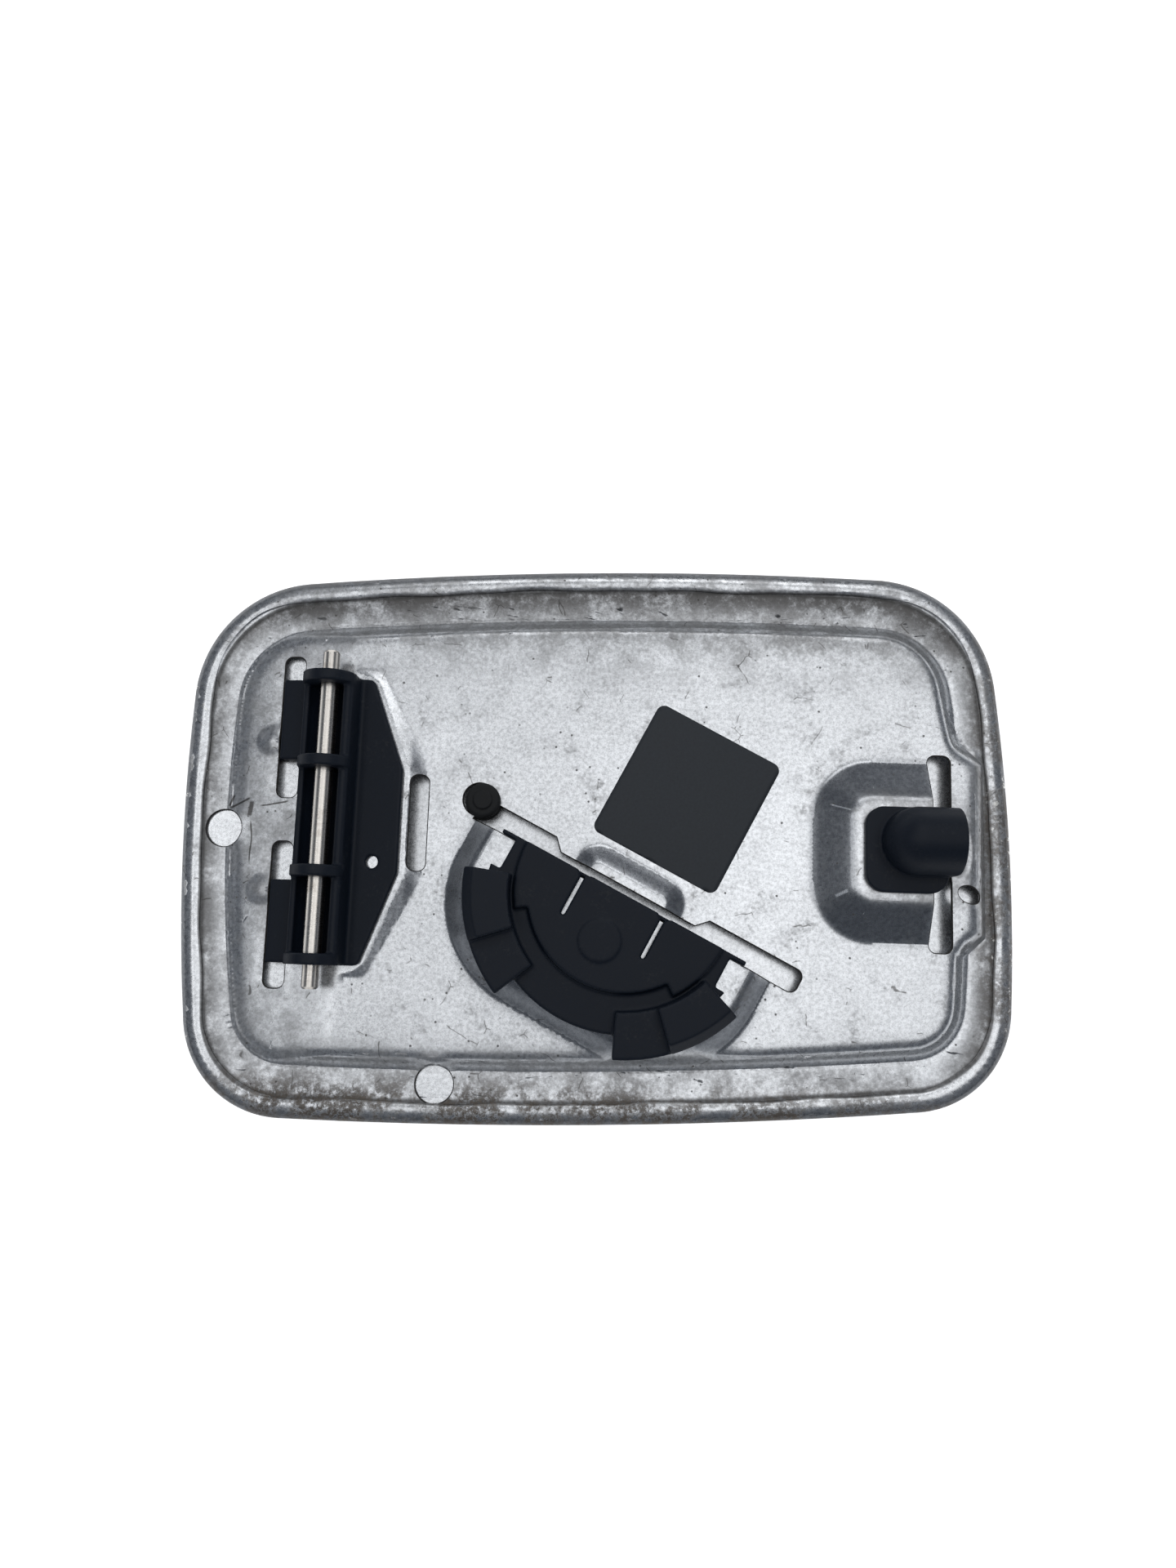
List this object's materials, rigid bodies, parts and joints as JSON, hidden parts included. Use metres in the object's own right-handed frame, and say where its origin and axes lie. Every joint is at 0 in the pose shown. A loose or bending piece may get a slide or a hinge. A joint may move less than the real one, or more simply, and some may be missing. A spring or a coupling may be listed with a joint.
{
  "type": "fuel filler flap",
  "caption": "Painted steel car fuel filler flap seen from inside, with a hinge clip and pin, a latch block, a filler cap holder, a rubber buffer and a sticker",
  "frame": {"origin": "under the middle of the flap, on the plane that its curved outer face rests on", "axes": "+X along the flap from the hinge to the latch, +Y along the hinge pin, +Z out of the inside face"},
  "size_m": [0.1998, 0.1344, 0.0242],
  "materials": {
    "silver_paint": "metallic satin",
    "black_plastic": "matte",
    "pin_steel": "polished, worn",
    "black_rubber": "matte",
    "label_film": "matte"
  },
  "bodies": {
    "flap": {"outer_skin": "silver_paint", "inner_panel": "silver_paint", "hinge_clip": "black_plastic", "latch_block": "black_plastic", "cap_holder": "black_plastic", "rubber_buffer": "black_rubber", "label": "label_film"},
    "pin": {"hinge_pin": "pin_steel"}
  },
  "joints": [
    {"name": "flap_hinge", "type": "hinge", "parent": "flap", "child": "pin", "pos_m": [-0.06428, 0.0023, 0.01232], "axis": [0, 1, 0], "continuous": true}
  ]
}
